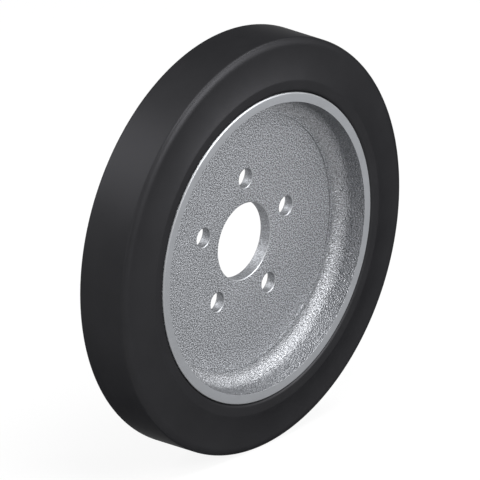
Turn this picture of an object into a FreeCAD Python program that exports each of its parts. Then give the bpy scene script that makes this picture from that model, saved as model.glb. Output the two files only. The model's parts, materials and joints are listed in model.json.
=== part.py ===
import FreeCAD, Part
import math
import os

# Industrial drive wheel: a solid rubber tyre bonded to a cast wheel centre. Millimetres.
# The wheel spins about Y, its centre is the origin and +Z is up. A section is drawn as two halves,
# each from the mid-plane to a face: the far one lies towards +Y, and the near one, which takes
# the hub, is mirrored. A section point is (radius, depth), where depth is the distance from the
# mid-plane along Y.

# Tyre
tyre_diameter = 360.0
rubber_depth = 45.8        # rim to tread
tread_inset = 4.7          # each side of the tread behind the bead land
shoulder_round = 3.2       # round at the tread's edge
shoulder_blend = 9.0       # wider round that carries it on into the sidewall
shoulder_turn = 50.0       # degrees from the tread where one round passes into the other
bead_lip = 3.3             # round from the rim up to the land, which leaves a groove round the rim
bead_land = 7.1            # flat band of rubber level with the rim face
ridge_round = 5.0          # round where the land turns into the hollow sidewall

# Wheel centre
rim_width = 60.0
rim_bevel = 1.1            # outer edge of each rim face
rim_face = 8.2             # machined face, with its bevel
mouth_break = 0.2          # inner edge of each rim face
wall_draft = 6.0           # degrees, inside of the rim
web_thickness = 12.0       # as cast, beside the fillet
web_fillet = 12.0
seat_margin = 2.8          # flat ring between the fillet and the hub seat
seat_depth = 1.0           # hub seat sunk into the near side of the web

# Hub fixing
bore_diameter = 67.0
bore_bevel = 0.6
bolt_circle = 112.0
bolt_count = 5
bolt_hole = 17.0
bolt_hole_bevel = 0.5      # at the hub seat
bolt_countersink = 3.2     # on the far side, at 45 degrees
first_bolt = 88.0          # degrees from +X towards +Z

tyre_radius = tyre_diameter / 2
rim_radius = tyre_radius - rubber_depth
face_depth = rim_width / 2
web_face = web_thickness / 2
seat_face = web_face - seat_depth
ORIGIN = FreeCAD.Vector(0, 0, 0)
AXIS = FreeCAD.Vector(0, 1, 0)


def point(radius, depth):
    return FreeCAD.Vector(radius, depth, 0)


def chain(*points):
    """Straight edges from each point to the next."""
    return [Part.LineSegment(a, b).toShape() for a, b in zip(points, points[1:])]


def arc(centre, start, end):
    """The shorter arc about a centre, from start to end."""
    middle = (start - centre) + (end - centre)
    middle.normalize()
    middle.multiply(start.distanceToPoint(centre))
    return Part.Arc(start, centre + middle, end).toShape()


def turned(far_half, near_half):
    """Mirror the near half of a section across the mid-plane, join both and turn them about the axis."""
    edges = far_half + [edge.mirror(ORIGIN, AXIS) for edge in near_half]
    outline = Part.Wire(Part.__sortEdges__(edges))
    return Part.Face(outline).revolve(ORIGIN, AXIS, 360)


def tyre_side():
    """One side of the rubber from the rim out: lip, land, hollow sidewall, shoulder and flat tread."""
    lip_start = point(rim_radius, face_depth - bead_lip)
    land_start = point(rim_radius + bead_lip, face_depth)
    lip_centre = point(land_start.x, lip_start.y)
    ridge = land_start.x + bead_land

    # The shoulder is a small round at the tread that passes into a wider one at the side.
    turn = math.radians(shoulder_turn)
    blend_start = point(math.cos(turn), math.sin(turn))
    offset = blend_start * (shoulder_blend - shoulder_round)
    side_depth = face_depth - tread_inset
    blend_centre = point(tyre_radius - shoulder_round - offset.x, side_depth - shoulder_blend)
    round_centre = blend_centre + offset
    side = point(blend_centre.x, side_depth)
    shoulder = round_centre + blend_start * shoulder_round
    tread_edge = point(tyre_radius, round_centre.y)

    # The sidewall is square to the axis at the shoulder and hollows outwards to the ridge.
    span = side.x - ridge
    hollow = (span ** 2 + tread_inset ** 2) / (2 * tread_inset)
    hollow_centre = point(side.x, side.y + hollow)

    # A round inside the land and outside the hollow, touching both.
    reach = hollow + ridge_round
    rise = hollow - tread_inset + ridge_round
    ridge_centre = point(side.x - math.sqrt(reach ** 2 - rise ** 2), face_depth - ridge_round)
    land_end = point(ridge_centre.x, face_depth)
    ridge_end = hollow_centre + (ridge_centre - hollow_centre) * (hollow / reach)

    return [
        *chain(point(rim_radius, 0), lip_start),
        arc(lip_centre, lip_start, land_start),
        *chain(land_start, land_end),
        arc(ridge_centre, land_end, ridge_end),
        arc(hollow_centre, ridge_end, side),
        arc(blend_centre, side, shoulder),
        arc(round_centre, shoulder, tread_edge),
        *chain(tread_edge, point(tyre_radius, 0)),
    ]


def wheel_centre_side(floor):
    """One side of the casting from the bore out: floor, web, fillet, drafted wall and rim face."""
    bore = bore_diameter / 2
    mouth = rim_radius - rim_face
    draft = math.radians(wall_draft)

    # The fillet touches the web and the wall, which leans outwards to the mouth.
    fillet_depth = web_face + web_fillet
    wall_there = mouth - (face_depth - fillet_depth) * math.tan(draft)
    fillet_centre = point(wall_there - web_fillet / math.cos(draft), fillet_depth)
    web_end = point(fillet_centre.x, web_face)
    wall_start = fillet_centre + point(math.cos(draft), -math.sin(draft)) * web_fillet
    seat_radius = web_end.x - seat_margin
    step = [point(seat_radius, floor), point(seat_radius, web_face)] if floor != web_face else []

    return [
        *chain(point(bore, 0),
               point(bore, floor - bore_bevel),
               point(bore + bore_bevel, floor),
               *step,
               web_end),
        arc(fillet_centre, web_end, wall_start),
        *chain(wall_start,
               point(mouth - mouth_break * math.tan(draft), face_depth - mouth_break),
               point(mouth + mouth_break, face_depth),
               point(rim_radius - rim_bevel, face_depth),
               point(rim_radius, face_depth - rim_bevel),
               point(rim_radius, 0)),
    ]


def bolt_drill_side(floor, flare):
    """Half the space of a bolt hole, which opens out at 45 degrees towards the floor."""
    radius = bolt_hole / 2
    return chain(point(0, 0),
                 point(0, floor + flare),
                 point(radius + 2 * flare, floor + flare),
                 point(radius, floor - flare),
                 point(radius, 0))


def bolt_holes():
    """The ring of bolt holes, evenly spaced from the first one."""
    drills = []
    for number in range(bolt_count):
        angle = math.radians(first_bolt + number * 360.0 / bolt_count)
        drill = turned(bolt_drill_side(web_face, bolt_countersink),
                       bolt_drill_side(seat_face, bolt_hole_bevel))
        drill.translate(FreeCAD.Vector(math.cos(angle), 0, math.sin(angle)) * (bolt_circle / 2))
        drills.append(drill)
    return drills


tyre = turned(tyre_side(), tyre_side())
wheel_centre = turned(wheel_centre_side(web_face), wheel_centre_side(seat_face)).cut(bolt_holes())

os.makedirs("parts", exist_ok=True)
tyre.exportStep("parts/tyre.step")
wheel_centre.exportStep("parts/wheel_centre.step")
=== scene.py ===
import json
import logging
import math
from dataclasses import dataclass
from enum import Enum
from typing import Any

import bpy
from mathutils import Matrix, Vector


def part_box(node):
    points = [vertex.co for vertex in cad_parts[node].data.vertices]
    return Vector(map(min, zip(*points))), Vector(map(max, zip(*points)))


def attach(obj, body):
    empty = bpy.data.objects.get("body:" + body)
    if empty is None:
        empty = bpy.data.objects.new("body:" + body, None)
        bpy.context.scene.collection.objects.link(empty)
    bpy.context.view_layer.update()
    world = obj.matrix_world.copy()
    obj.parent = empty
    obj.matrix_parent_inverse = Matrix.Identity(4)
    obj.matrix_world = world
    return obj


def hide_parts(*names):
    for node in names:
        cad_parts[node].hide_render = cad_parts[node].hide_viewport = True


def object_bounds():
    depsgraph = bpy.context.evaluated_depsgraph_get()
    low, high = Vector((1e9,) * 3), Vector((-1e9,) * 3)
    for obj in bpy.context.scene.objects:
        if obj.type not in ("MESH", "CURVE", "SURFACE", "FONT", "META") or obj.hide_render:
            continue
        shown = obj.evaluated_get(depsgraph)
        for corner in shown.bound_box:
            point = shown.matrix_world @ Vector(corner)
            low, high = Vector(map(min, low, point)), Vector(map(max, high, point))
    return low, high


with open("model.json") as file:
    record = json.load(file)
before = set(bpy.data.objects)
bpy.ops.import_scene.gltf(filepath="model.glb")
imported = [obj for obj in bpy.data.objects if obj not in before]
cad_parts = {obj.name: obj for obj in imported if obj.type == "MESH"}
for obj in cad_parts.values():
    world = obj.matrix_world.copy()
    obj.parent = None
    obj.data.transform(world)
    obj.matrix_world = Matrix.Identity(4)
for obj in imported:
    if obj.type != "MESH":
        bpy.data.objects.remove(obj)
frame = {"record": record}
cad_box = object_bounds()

# Industrial drive wheel: a solid rubber tyre bonded to a cast wheel centre, which spins about Y. Each piece
# is a turned section, drawn as two halves from the mid-plane over one face: the far half lies towards +Y,
# and the near one, which takes the hub, towards -Y.

log = logging.getLogger("drive_wheel")

Colour = tuple[float, float, float]

MM = 0.001
ROOT = "root"
ORIGIN = Vector((0.0, 0.0, 0.0))
AXIS = (0.0, 1.0, 0.0)
ACROSS_AXIS = (1.0, 0.0, 1.0)
FULL_TURN = 360.0
EASE_STEPS = 3
MERGE_DISTANCE = 0.002 * MM
SMOOTH_ANGLE = math.radians(35.0)
MIDDLE = 0.5    # of a noise's values and of a ramp


class Zone(Enum):
    """How a surface of the wheel centre was left, by its material index."""

    SKIN = 0
    GRITTY = 1
    FACED = 2
    BORED = 3
    BEVELLED = 4


def at(radius: float, depth: float) -> Vector:
    """A section point from its distance to the axis and to the mid-plane."""
    return Vector((radius, depth, 0.0))


def sweep(centre: Vector, start: Vector, end: Vector, steps: int) -> list[Vector]:
    """Points along the shorter arc about a centre.

    Args:
        centre: Centre of the arc.
        start: Where the arc starts; it isn't among the points.
        end: Where the arc ends; it is the last of the points.
        steps: How many points.

    Returns:
        The points in order.
    """
    first, last = start - centre, end - centre
    begin = math.atan2(first.y, first.x)
    turn = math.atan2(first.x * last.y - first.y * last.x, first.x * last.x + first.y * last.y)
    angles = [begin + turn * step / steps for step in range(1, steps + 1)]
    return [centre + at(math.cos(angle), math.sin(angle)) * first.length for angle in angles]


class HalfSection:
    """Half a section of the wheel, drawn from the mid-plane over one face and back to the mid-plane."""

    def __init__(self, start: Vector) -> None:
        """Start at a point of the mid-plane."""
        self.corners: list[tuple[Vector, float]] = [(start, 0.0)]

    def line(self, *points: Vector, ease: float = 0.0) -> None:
        """Go straight to each point in turn, a corner that is rounded by the radius given as ease."""
        self.corners += [(point, ease) for point in points]

    def arc(self, centre: Vector, end: Vector, steps: int) -> None:
        """Go round a centre to a point, in so many steps."""
        start = self.corners[-1][0]
        self.corners += [(point, 0.0) for point in sweep(centre, start, end, steps)]

    def bow(self, end: Vector, turn: float, steps: int) -> None:
        """Go to a point along a shallow arc that bulges to the left of the way there.

        Args:
            end: Where the arc ends.
            turn: Degrees that the arc turns through.
            steps: How many points it gets.
        """
        way = end - self.corners[-1][0]
        back = at(way.y, -way.x) / (2 * math.tan(math.radians(turn) / 2))
        self.arc(end - way / 2 + back, end, steps)

    def eased(self) -> list[Vector]:
        """The half section as points, its sharp corners turned into small rounds.

        Returns:
            The points in order.
        """
        points: list[Vector] = []
        for number, (corner, ease) in enumerate(self.corners):
            if not ease:
                points.append(corner)
                continue
            back = (self.corners[number - 1][0] - corner).normalized()
            ahead = (self.corners[number + 1][0] - corner).normalized()
            half = back.angle(ahead) / 2
            centre = corner + (back + ahead).normalized() * (ease / math.sin(half))
            start, end = (corner + way * (ease / math.tan(half)) for way in (back, ahead))
            points += [start, *sweep(centre, start, end, EASE_STEPS)]
        return points

    def outline(self, near: "HalfSection | None" = None) -> list[Vector]:
        """The whole closed section, this half being the far side of the wheel.

        Args:
            near: The half on the near side, drawn like this one, where the two sides differ.

        Returns:
            The points in order, with the first one again at the end.
        """
        far = self.eased()
        other = [at(point.x, -point.y) for point in reversed((near or self).eased())]
        return [*far, *other[1:]]


def turned(name: str, outline: list[Vector], steps: int, place: Vector = ORIGIN) -> bpy.types.Object:
    """Turn a closed section about an axis along Y.

    A vertex is extruded from point to point along the section, which is then spun round.

    Args:
        name: Name of the new piece.
        outline: Closed section, its radii measured from the axis.
        steps: Faces round the axis.
        place: Where the axis crosses the mid-plane.

    Returns:
        The solid piece, its object at the origin.
    """
    bpy.ops.object.select_all(action="DESELECT")
    bpy.ops.mesh.primitive_plane_add(size=MM)
    piece = bpy.context.object
    piece.name = piece.data.name = name
    bpy.ops.object.mode_set(mode="EDIT")
    bpy.ops.mesh.select_all(action="SELECT")
    bpy.ops.mesh.merge(type="CENTER")
    bpy.ops.transform.translate(value=place + outline[0])
    for here, there in zip(outline, outline[1:]):
        bpy.ops.mesh.extrude_region_move(TRANSFORM_OT_translate={"value": there - here})
    bpy.ops.mesh.select_all(action="SELECT")
    bpy.ops.mesh.spin(steps=steps, angle=math.tau, center=place, axis=AXIS)
    bpy.ops.mesh.select_all(action="SELECT")
    bpy.ops.mesh.remove_doubles(threshold=MERGE_DISTANCE)
    bpy.ops.mesh.normals_make_consistent(inside=False)
    bpy.ops.object.mode_set(mode="OBJECT")
    return piece


def make_active(piece: bpy.types.Object) -> None:
    """Select one piece alone, for the operators that follow.

    Args:
        piece: The piece to work on.
    """
    bpy.ops.object.select_all(action="DESELECT")
    piece.select_set(True)
    bpy.context.view_layer.objects.active = piece


def smooth(piece: bpy.types.Object) -> None:
    """Shade a piece smooth, apart from its sharp edges."""
    make_active(piece)
    bpy.ops.object.shade_smooth_by_angle(angle=SMOOTH_ANGLE)


class Signal:
    """A shader socket that takes part in Python arithmetic."""

    def __init__(self, graph: "Graph", socket: bpy.types.NodeSocket | None) -> None:
        """Wrap an output socket of a graph."""
        self.graph = graph
        self.socket = socket

    def maths(self, operation: str, *values: "Signal | float") -> "Signal":
        """One Math node, from Blender's name of the operation and its inputs in order."""
        return self.graph.node("ShaderNodeMath", {"operation": operation}, dict(enumerate(values)))

    def __add__(self, other: "Signal | float") -> "Signal":
        """Sum."""
        return self.maths("ADD", self, other)

    def __radd__(self, other: float) -> "Signal":
        """Sum with a number in front."""
        return self.maths("ADD", other, self)

    def __sub__(self, other: "Signal | float") -> "Signal":
        """Difference."""
        return self.maths("SUBTRACT", self, other)

    def __rsub__(self, other: float) -> "Signal":
        """Difference from a number in front."""
        return self.maths("SUBTRACT", other, self)

    def __mul__(self, other: "Signal | float") -> "Signal":
        """Product."""
        return self.maths("MULTIPLY", self, other)

    def __rmul__(self, other: float) -> "Signal":
        """Product with a number in front."""
        return self.maths("MULTIPLY", other, self)

    def sine(self) -> "Signal":
        """Sine of the value in radians."""
        return self.maths("SINE", self)

    def largest(self, other: "Signal | float") -> "Signal":
        """The larger of two values."""
        return self.maths("MAXIMUM", self, other)


class Graph:
    """The nodes of one material or world."""

    def __init__(self, owner: bpy.types.Material | bpy.types.World) -> None:
        """Empty the owner's node tree.

        Args:
            owner: Material or world to give nodes to.
        """
        owner.use_nodes = True
        self.tree = owner.node_tree
        self.tree.nodes.clear()

    def node(
        self,
        kind: str,
        settings: dict[str, Any] | None = None,
        sockets: dict[int | str, Any] | None = None,
        output: int | str = 0,
    ) -> Signal:
        """Add a node.

        Args:
            kind: Blender's type of the node.
            settings: Properties, set first. The key "stops" gives a ramp's places and colours.
            sockets: Values or signals of its inputs.
            output: The output to go on with.

        Returns:
            That output, empty for a node that has none.
        """
        made = self.tree.nodes.new(kind)
        for key, value in (settings or {}).items():
            if key == "stops":
                for stop, (place, colour) in zip(made.color_ramp.elements, value, strict=True):
                    stop.position = place
                    stop.color = colour
            else:
                setattr(made, key, value)
        for key, value in (sockets or {}).items():
            if isinstance(value, Signal):
                self.tree.links.new(value.socket, made.inputs[key])
            else:
                made.inputs[key].default_value = value
        return Signal(self, made.outputs[output] if made.outputs else None)

    def place(self) -> Signal:
        """Object coordinates, in metres."""
        return self.node("ShaderNodeTexCoord", output="Object")

    def noise(self, place: Signal, size: float, detail: float, rough: float) -> Signal:
        """Noise from 0 to 1, by its clouds' size in metres, its octaves and the finer ones' weight."""
        sockets = {"Vector": place, "Scale": 1.0 / size, "Detail": detail, "Roughness": rough}
        return self.node("ShaderNodeTexNoise", {"noise_dimensions": "3D"}, sockets)

    def radius(self, place: Signal) -> Signal:
        """Distance from the wheel's axis, in metres."""
        across = self.node("ShaderNodeVectorMath", {"operation": "MULTIPLY"}, {0: place, 1: ACROSS_AXIS})
        return self.node("ShaderNodeVectorMath", {"operation": "LENGTH"}, {0: across}, output="Value")

    def tinted(self, tone: Signal, colour: Colour, contrast: float) -> Signal:
        """A colour that is darker in places and paler in others.

        Args:
            tone: 0 where it is darkest, 1 where it is palest.
            colour: The colour at the middle.
            contrast: Share by which the darkest and the palest differ from it.

        Returns:
            The colour.
        """
        dark, pale = ([part * share for part in colour] for share in (1 - contrast, 1 + contrast))
        stops = [(0.0, (*dark, 1.0)), (1.0, (*pale, 1.0))]
        return self.node("ShaderNodeValToRGB", {"stops": stops}, {"Fac": tone})

    def bump(self, height: Signal, relief: float) -> Signal:
        """A normal from a height, of which one unit is the relief in metres."""
        return self.node("ShaderNodeBump", {}, {"Height": height, "Distance": relief, "Strength": 1.0})

    def surface(self, sockets: dict[int | str, Any]) -> None:
        """Close the material with a Principled shader that has these inputs."""
        shader = self.node("ShaderNodeBsdfPrincipled", {}, sockets)
        self.node("ShaderNodeOutputMaterial", {}, {"Surface": shader})


def grey(level: float) -> tuple[float, float, float, float]:
    """A grey for a colour socket."""
    return (level, level, level, 1.0)


@dataclass(frozen=True)
class MouldedRubber:
    """Black rubber as it leaves the mould: satin, with a fine tooth and a faint bloom."""

    name: str = "moulded_rubber"
    colour: Colour = (0.0255, 0.0255, 0.0273)
    bloom: float = 0.15               # contrast of the colour
    bloom_size: float = 45.0 * MM
    tooth: float = 0.7 * MM
    relief: float = 0.012 * MM
    carbon: float = 0.8               # share of the shine that carbon black gives, like a dark metal's
    edge: float = 0.395               # how bright that shine is at a glancing angle
    roughness: float = 0.45
    bloom_roughness: float = 0.1      # range over the bloom
    tooth_roughness: float = 0.08     # range over the tooth

    def material(self) -> bpy.types.Material:
        """Make the material.

        Returns:
            The material, named after the finish.
        """
        made = bpy.data.materials.new(self.name)
        graph = Graph(made)
        place = graph.place()
        cloud = graph.noise(place, self.bloom_size, detail=4.0, rough=0.6)
        tooth = graph.noise(place, self.tooth, detail=2.0, rough=0.6)
        roughness = self.roughness + self.bloom_roughness * (cloud - MIDDLE)
        graph.surface({
            "Base Color": graph.tinted(cloud, self.colour, self.bloom),
            "Metallic": self.carbon,
            "Roughness": roughness + self.tooth_roughness * (tooth - MIDDLE),
            "Specular IOR Level": 0.0,
            "Specular Tint": grey(self.edge),
            "Normal": graph.bump(tooth, self.relief),
        })
        return made


@dataclass(frozen=True)
class CastMetal:
    """Bare silver-grey casting, with the grain of the mould and a little unevenness."""

    name: str = "cast_skin"
    colour: Colour = (0.246, 0.253, 0.267)
    contrast: float = 0.7
    unevenness: float = 0.12          # weight of the broad clouds in the tone
    uneven_size: float = 30.0 * MM
    pitting: float = 1.5              # weight of the grain in the tone
    grain: float = 1.0 * MM
    relief: float = 0.5 * MM
    metallic: float = 1.0
    edge: float = 0.5                 # how bright its shine is at a glancing angle
    roughness: float = 0.53
    uneven_roughness: float = 0.12    # range over the clouds

    def material(self) -> bpy.types.Material:
        """Make the material.

        Returns:
            The material, named after the finish.
        """
        made = bpy.data.materials.new(self.name)
        graph = Graph(made)
        place = graph.place()
        cloud = graph.noise(place, self.uneven_size, detail=3.0, rough=0.55)
        grain = graph.noise(place, self.grain, detail=0.0, rough=0.5)
        tone = MIDDLE + self.unevenness * (cloud - MIDDLE) + self.pitting * (grain - MIDDLE)
        graph.surface({
            "Base Color": graph.tinted(tone, self.colour, self.contrast),
            "Metallic": self.metallic,
            "Specular Tint": grey(self.edge),
            "Roughness": self.roughness + self.uneven_roughness * (cloud - MIDDLE),
            "Normal": graph.bump(grain, self.relief),
        })
        return made


@dataclass(frozen=True)
class TurnedMetal:
    """Machined metal with the fine rings that the tool leaves."""

    name: str = "turned_face"
    colour: Colour = (0.256, 0.264, 0.278)
    contrast: float = 0.3
    unevenness: float = 0.25          # weight of the broad clouds in the tone
    uneven_size: float = 18.0 * MM
    pitch: float = 0.45 * MM          # from ring to ring
    waver: float = 2.0                # radians that the clouds move the rings by
    ring_mark: float = 0.03           # how far a ring changes the tone and the roughness
    relief: float = 0.004 * MM
    metallic: float = 1.0
    edge: float = 0.6                 # how bright its shine is at a glancing angle
    roughness: float = 0.6
    uneven_roughness: float = 0.1     # range over the clouds

    def material(self) -> bpy.types.Material:
        """Make the material.

        Returns:
            The material, named after the finish.
        """
        made = bpy.data.materials.new(self.name)
        graph = Graph(made)
        place = graph.place()
        cloud = graph.noise(place, self.uneven_size, detail=3.0, rough=0.6)
        rings = (graph.radius(place) * (math.tau / self.pitch) + self.waver * cloud).sine()
        tone = MIDDLE + self.unevenness * (cloud - MIDDLE) + self.ring_mark * rings
        graph.surface({
            "Base Color": graph.tinted(tone, self.colour, self.contrast),
            "Metallic": self.metallic,
            "Specular Tint": grey(self.edge),
            "Roughness": self.roughness + self.uneven_roughness * (cloud - MIDDLE) + self.ring_mark * rings,
            "Normal": graph.bump(rings, self.relief),
        })
        return made


@dataclass
class Tyre:
    """The solid rubber tyre. Lengths are in metres and angles in degrees."""

    tread_radius: float
    rim_radius: float
    face_depth: float
    tread_inset: float = 4.7 * MM     # each side of the tread behind the bead land
    shoulder_round: float = 3.2 * MM
    shoulder_blend: float = 9.0 * MM
    shoulder_turn: float = 50.0       # from the tread to where the round passes into the blend
    bead_lip: float = 3.3 * MM
    bead_land: float = 7.1 * MM
    ridge_round: float = 5.0 * MM
    steps: int = 256
    lip_steps: int = 12
    ridge_steps: int = 8
    hollow_steps: int = 20
    blend_steps: int = 12
    round_steps: int = 10
    finish: MouldedRubber = MouldedRubber()

    def section(self) -> list[Vector]:
        """Outline from the rim out: lip, bead land, hollow sidewall, rounded shoulder and flat tread.

        Returns:
            The closed section.
        """
        lip = at(self.rim_radius, self.face_depth - self.bead_lip)
        land = at(self.rim_radius + self.bead_lip, self.face_depth)

        # The shoulder is a small round at the tread that passes into a wider one at the side.
        turn = math.radians(self.shoulder_turn)
        towards = at(math.cos(turn), math.sin(turn))
        offset = towards * (self.shoulder_blend - self.shoulder_round)
        side_depth = self.face_depth - self.tread_inset
        blend_radius = self.tread_radius - self.shoulder_round - offset.x
        blend_centre = at(blend_radius, side_depth - self.shoulder_blend)
        round_centre = blend_centre + offset
        shoulder = round_centre + towards * self.shoulder_round

        # The sidewall is square to the axis at the shoulder and hollows outwards to the ridge.
        side = at(blend_radius, side_depth)
        span = side.x - land.x - self.bead_land
        hollow = (span ** 2 + self.tread_inset ** 2) / (2 * self.tread_inset)
        hollow_centre = at(side.x, side.y + hollow)

        # The ridge is a round inside the land and outside the hollow, touching both.
        reach = hollow + self.ridge_round
        rise = reach - self.tread_inset
        ridge_centre = at(side.x - math.sqrt(reach ** 2 - rise ** 2), self.face_depth - self.ridge_round)
        ridge_end = hollow_centre + (ridge_centre - hollow_centre) * (hollow / reach)

        half = HalfSection(at(self.rim_radius, 0.0))
        half.line(lip)
        half.arc(at(land.x, lip.y), land, self.lip_steps)
        half.line(at((land.x + ridge_centre.x) / 2, self.face_depth), at(ridge_centre.x, self.face_depth))
        half.arc(ridge_centre, ridge_end, self.ridge_steps)
        half.arc(hollow_centre, side, self.hollow_steps)
        half.arc(blend_centre, shoulder, self.blend_steps)
        half.arc(round_centre, at(self.tread_radius, round_centre.y), self.round_steps)
        half.line(at(self.tread_radius, round_centre.y / 2), at(self.tread_radius, 0.0))
        return half.outline()

    def dress(self, piece: bpy.types.Object) -> None:
        """Shade the tyre and give it its finish."""
        smooth(piece)
        piece.data.materials.append(self.finish.material())

    def build(self) -> bpy.types.Object:
        """Turn the tyre and dress it.

        Returns:
            The tyre.
        """
        piece = turned("solid_tyre", self.section(), self.steps)
        self.dress(piece)
        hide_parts("tyre")
        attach(piece, ROOT)
        return piece


@dataclass
class WheelCentre:
    """The cast wheel centre. Lengths are in metres and angles in degrees."""

    rim_radius: float
    face_depth: float
    bore_radius: float
    bolt_circle_radius: float
    bolt_radius: float
    bolt_count: int
    seat_face: float
    web_face: float
    seat_margin: float = 2.8 * MM     # flat ring between the seat and the fillet
    rim_bevel: float = 1.1 * MM
    rim_bow: float = 50.0             # through which the bevel turns as it bulges
    rim_face: float = 8.2 * MM
    mouth_break: float = 0.05 * MM
    wall_draft: float = 6.0
    web_fillet: float = 12.0 * MM
    bore_bevel: float = 0.7 * MM
    bolt_bevel: float = 0.6 * MM
    bevel_slope: float = 36.0         # from the floor, at the bore and the bolt holes
    countersink: float = 3.2 * MM
    countersink_slope: float = 45.0
    first_bolt: float = 88.0          # from +X towards +Z
    ease: float = 0.12 * MM           # round on sharp edges
    steps: int = 256
    floor_rings: int = 5              # faces between the bore and the seat's edge
    fillet_steps: int = 24
    bevel_steps: int = 8
    drill_steps: int = 64
    flat_from: float = 0.95           # share of a normal along the axis from which a face is flat
    tilted_from: float = 0.3          # share from which it is a bevel
    hole_margin: float = 0.32 * MM    # how far past its edge a hole's finish may reach
    floor_slack: float = 0.01 * MM    # how far above the web a face is still floor
    # The skin's colour is paler than the other cast finishes': painted highlight that brightens the fillets
    # and walls; its grain, relief and roughness are its own.
    skin: CastMetal = CastMetal(
        colour=(0.27, 0.276, 0.289), grain=0.9 * MM, relief=0.75 * MM, pitting=1.3, roughness=0.44
    )
    gritty: CastMetal = CastMetal("gritty_floor", pitting=3.3)
    faced: TurnedMetal = TurnedMetal()
    bored: CastMetal = CastMetal("bored_metal", relief=0.1 * MM, pitting=1.1)
    # The bevels' colour is paler than the faced rim's: painted highlight, so that the narrow bevels at the
    # rim, bore and bolt holes shine brighter.
    bevelled: TurnedMetal = TurnedMetal("bevelled_edge", (0.322, 0.33, 0.344), roughness=0.46)

    def side(self, floor: float) -> HalfSection:
        """One side from the bore out: floor of the dish, fillet, drafted wall and rim face.

        Args:
            floor: Depth of the floor round the bore, sunk or level with the web.

        Returns:
            The half section.
        """
        # The fillet touches the web and the wall, which leans outwards to the mouth.
        mouth = self.rim_radius - self.rim_face
        draft = math.radians(self.wall_draft)
        fillet_depth = self.web_face + self.web_fillet
        wall_there = mouth - (self.face_depth - fillet_depth) * math.tan(draft)
        fillet_centre = at(wall_there - self.web_fillet / math.cos(draft), fillet_depth)
        web_end = at(fillet_centre.x, self.web_face)
        wall_start = fillet_centre + at(math.cos(draft), -math.sin(draft)) * self.web_fillet
        seat_radius = web_end.x - self.seat_margin
        slope = math.tan(math.radians(self.bevel_slope))

        half = HalfSection(at(self.bore_radius, 0.0))
        half.line(at(self.bore_radius, floor - self.bore_bevel * slope),
                  at(self.bore_radius + self.bore_bevel, floor), ease=self.ease)
        for ring in range(1, self.floor_rings):
            share = ring / self.floor_rings
            half.line(at(self.bore_radius + share * (seat_radius - self.bore_radius), floor))
        if floor < self.web_face:
            half.line(at(seat_radius, floor), at(seat_radius, self.web_face), ease=self.ease)
        half.line(web_end)
        half.arc(fillet_centre, wall_start, self.fillet_steps)
        half.line(at(mouth - self.mouth_break * math.tan(draft), self.face_depth - self.mouth_break),
                  at(mouth + self.mouth_break, self.face_depth))
        half.line(at(self.rim_radius - self.rim_bevel, self.face_depth), ease=self.ease)
        half.bow(at(self.rim_radius, self.face_depth - self.rim_bevel), self.rim_bow, self.bevel_steps)
        half.line(at(self.rim_radius, 0.0))
        return half

    def section(self) -> list[Vector]:
        """Closed outline of the casting, its floor sunk into a seat on the near side alone."""
        return self.side(self.web_face).outline(near=self.side(self.seat_face))

    def flare(self, floor: float, width: float, slope: float) -> HalfSection:
        """Half the space of a bolt hole, which flares towards the floor and as far again beyond it.

        Args:
            floor: Depth of the floor.
            width: How much wider the hole is at the floor.
            slope: Degrees between the flare and the floor.

        Returns:
            The half section.
        """
        depth = width * math.tan(math.radians(slope))
        half = HalfSection(at(0.0, 0.0))
        half.line(at(0.0, floor + depth), at(self.bolt_radius + 2 * width, floor + depth))
        half.line(at(self.bolt_radius, floor - depth), ease=self.ease)
        half.line(at(self.bolt_radius, 0.0))
        return half

    def drill(self) -> list[Vector]:
        """Closed outline of a bolt hole's space: a bevel on the near side, a countersink on the far one."""
        far = self.flare(self.web_face, self.countersink, self.countersink_slope)
        return far.outline(near=self.flare(self.seat_face, self.bolt_bevel, self.bevel_slope))

    def hole_places(self) -> list[Vector]:
        """Centres of the bolt holes.

        Returns:
            Where each hole's axis crosses the mid-plane.
        """
        places = []
        for number in range(self.bolt_count):
            angle = math.radians(self.first_bolt + number * FULL_TURN / self.bolt_count)
            places.append(Vector((math.cos(angle), 0.0, math.sin(angle))) * self.bolt_circle_radius)
        return places

    def bore_out(self, piece: bpy.types.Object) -> None:
        """Cut the bolt holes.

        Args:
            piece: The turned casting.
        """
        for place in self.hole_places():
            drill = turned("drill", self.drill(), self.drill_steps, place)
            make_active(piece)
            bpy.ops.object.modifier_add(type="BOOLEAN")
            cut = piece.modifiers[-1]
            cut.operation = "DIFFERENCE"
            cut.solver = "EXACT"
            cut.object = drill
            bpy.ops.object.modifier_apply(modifier=cut.name)
            bpy.data.objects.remove(drill)

    def zone(self, centre: Vector, normal: Vector) -> Zone:
        """How a face was left.

        Args:
            centre: Middle of the face.
            normal: Its normal.

        Returns:
            The zone that the face belongs to.
        """
        level = Vector((centre.x, 0.0, centre.z))
        depth = abs(centre.y)
        flat = abs(normal.y) > self.flat_from
        tilted = not flat and abs(normal.y) > self.tilted_from
        if level.length > self.rim_radius - self.rim_face and depth > self.face_depth - self.rim_bevel:
            return Zone.BEVELLED if tilted else Zone.FACED
        bore_reach = self.bore_radius + self.bore_bevel + self.hole_margin
        bolt_reach = self.bolt_radius + self.countersink + self.hole_margin
        near_bolt = any((level - hole).length < bolt_reach for hole in self.hole_places())
        if not flat and (near_bolt or level.length < bore_reach):
            return Zone.BEVELLED if tilted else Zone.BORED
        return Zone.GRITTY if flat and depth < self.web_face + self.floor_slack else Zone.SKIN

    def finishes(self) -> dict[Zone, CastMetal | TurnedMetal]:
        """The finish of each zone.

        Returns:
            The finishes by zone.
        """
        return {
            Zone.SKIN: self.skin,
            Zone.GRITTY: self.gritty,
            Zone.FACED: self.faced,
            Zone.BORED: self.bored,
            Zone.BEVELLED: self.bevelled,
        }

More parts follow.
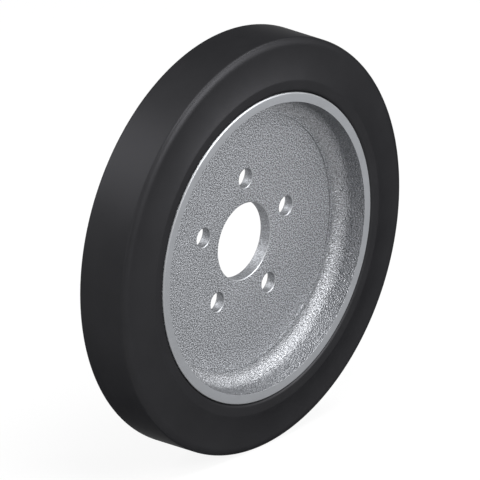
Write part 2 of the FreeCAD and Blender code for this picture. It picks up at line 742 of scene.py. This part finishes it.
    def dress(self, piece: bpy.types.Object) -> None:
        """Shade the casting and give each face the finish of its zone.

        Args:
            piece: The casting, its holes cut.
        """
        smooth(piece)
        finishes = self.finishes()
        for zone in Zone:
            piece.data.materials.append(finishes[zone].material())
        for face in piece.data.polygons:
            face.material_index = self.zone(face.center, face.normal).value

    def build(self) -> bpy.types.Object:
        """Turn the casting, cut its holes and dress it.

        Returns:
            The wheel centre.
        """
        piece = turned("cast_wheel_centre", self.section(), self.steps)
        self.bore_out(piece)
        self.dress(piece)
        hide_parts("wheel_centre")
        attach(piece, ROOT)
        return piece


def heading(azimuth: float, elevation: float) -> Vector:
    """A direction away from the wheel.

    Args:
        azimuth: Degrees from the front, -Y, towards +X.
        elevation: Degrees above the horizon.

    Returns:
        A unit vector.
    """
    turn, rise = math.radians(azimuth), math.radians(elevation)
    return Vector((math.sin(turn) * math.cos(rise), -math.cos(turn) * math.cos(rise), math.sin(rise)))


@dataclass(frozen=True)
class Lamp:
    """A square soft lamp aimed at the wheel.

    Angles are in degrees and lengths in metres. The level is how bright a white card looks at the
    wheel when it faces this lamp alone.
    """

    name: str
    azimuth: float
    elevation: float
    level: float
    size: float = 0.9
    distance: float = 2.2

    def build(self) -> None:
        """Hang the lamp."""
        away = heading(self.azimuth, self.elevation)
        bpy.ops.object.light_add(type="AREA", location=away * self.distance)
        lamp = bpy.context.object
        lamp.name = lamp.data.name = self.name
        lamp.rotation_euler = away.to_track_quat("Z", "Y").to_euler()
        lamp.data.size = self.size
        # A lamp of this power makes a white card at the wheel as bright as the level says.
        lamp.data.energy = self.level * (math.pi * self.distance) ** 2
        lamp.visible_camera = False


@dataclass
class Studio:
    """Pale floor, white surroundings and soft lamps. Lengths are in metres."""

    floor_height: float
    floor_size: float = 8.0
    floor_tone: float = 0.9
    shadow_share: float = 0.1         # how much of the floor's own shading shows
    ambient: float = 0.1              # strength of the surroundings as light
    lamps: tuple[Lamp, ...] = (
        Lamp("key_lamp", 18.0, 27.0, 0.85, size=1.1),
        Lamp("right_lamp", 60.0, 55.0, 0.44),
        Lamp("left_lamp", -28.0, 70.0, 0.66),
        Lamp("back_lamp", -148.0, 35.0, 0.55, size=1.4),
        Lamp("low_lamp", 45.0, 15.0, 0.09),
        Lamp("side_lamp", -75.0, 20.0, 0.11),
    )

    def seen_directly(self, graph: Graph) -> Signal:
        """1 where the camera, a reflection or a see-through piece looks at the surroundings.

        Args:
            graph: Nodes to add to.

        Returns:
            1 or 0.
        """
        kinds = ("Is Camera Ray", "Is Glossy Ray", "Is Transmission Ray")
        camera, glossy, through = (graph.node("ShaderNodeLightPath", output=kind) for kind in kinds)
        return camera.largest(glossy).largest(through)

    def surround(self) -> None:
        """Make the world: white to look at, softer as light."""
        world = bpy.data.worlds.new("white_surroundings")
        bpy.context.scene.world = world
        graph = Graph(world)
        strength = self.ambient + (1.0 - self.ambient) * self.seen_directly(graph)
        white = graph.node("ShaderNodeBackground", {}, {"Color": grey(1.0), "Strength": strength})
        graph.node("ShaderNodeOutputWorld", {}, {"Surface": white})

    def lay_floor(self) -> None:
        """Lay the floor under the tread: white to look at, but for a share of its own shading."""
        bpy.ops.object.select_all(action="DESELECT")
        bpy.ops.mesh.primitive_plane_add(size=self.floor_size, location=(0.0, 0.0, self.floor_height))
        floor = bpy.context.object
        floor.name = "pale_floor"
        made = bpy.data.materials.new("pale_floor")
        graph = Graph(made)
        lit = graph.node("ShaderNodeBsdfDiffuse", {}, {"Color": grey(self.floor_tone)})
        white = graph.node("ShaderNodeEmission", {}, {"Color": grey(1.0), "Strength": 1.0})
        share = (1.0 - self.shadow_share) * self.seen_directly(graph)
        mixed = graph.node("ShaderNodeMixShader", {}, {0: share, 1: lit, 2: white})
        graph.node("ShaderNodeOutputMaterial", {}, {"Surface": mixed})
        floor.data.materials.append(made)

    def build(self) -> None:
        """Set the whole studio up."""
        self.surround()
        self.lay_floor()
        for lamp in self.lamps:
            lamp.build()


@dataclass(frozen=True)
class PhotoCamera:
    """The camera, with parallel lines kept parallel as in the photograph.

    Angles are in degrees and lengths in metres. The shifts are shares of the frame's width.
    """

    azimuth: float = -49.88
    elevation: float = 21.88
    distance: float = 2.0
    frame_width: float = 0.3999
    shift_x: float = 0.0006
    shift_y: float = -0.0004

    def build(self) -> None:
        """Set the camera up and make it the scene's own."""
        away = heading(self.azimuth, self.elevation)
        bpy.ops.object.camera_add(location=away * self.distance)
        camera = bpy.context.object
        camera.name = "photo_camera"
        camera.rotation_euler = away.to_track_quat("Z", "Y").to_euler()
        camera.data.type = "ORTHO"
        camera.data.ortho_scale = self.frame_width
        camera.data.shift_x = self.shift_x
        camera.data.shift_y = self.shift_y
        bpy.context.scene.camera = camera


def mount(name: str) -> dict[str, Any]:
    """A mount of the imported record, by its name."""
    return next(row for row in frame["record"]["mounts"] if row["name"] == name)


def main() -> None:
    """Build the wheel and its studio."""
    logging.basicConfig(level=logging.INFO, format="%(message)s")
    bpy.context.scene.view_settings.view_transform = "Standard"
    tread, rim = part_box("tyre")[1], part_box("wheel_centre")[1]
    bolts = mount("hub_bolts")["dims"]

    tyre = Tyre(tread_radius=tread.x, rim_radius=rim.x, face_depth=tread.y).build()
    log.info("%s: %d faces", tyre.name, len(tyre.data.polygons))
    centre = WheelCentre(
        rim_radius=rim.x,
        face_depth=rim.y,
        bore_radius=mount("hub_bore")["dims"]["r_mm"] * MM,
        bolt_circle_radius=bolts["pcd_mm"] / 2 * MM,
        bolt_radius=bolts["hole_r_mm"] * MM,
        bolt_count=bolts["count"],
        seat_face=-mount("hub_seat")["pos_m"][1],
        web_face=mount("nut_seat")["pos_m"][1],
    ).build()
    log.info("%s: %d faces", centre.name, len(centre.data.polygons))

    Studio(floor_height=cad_box[0].z).build()
    PhotoCamera().build()


if __name__ == "__main__":
    main()
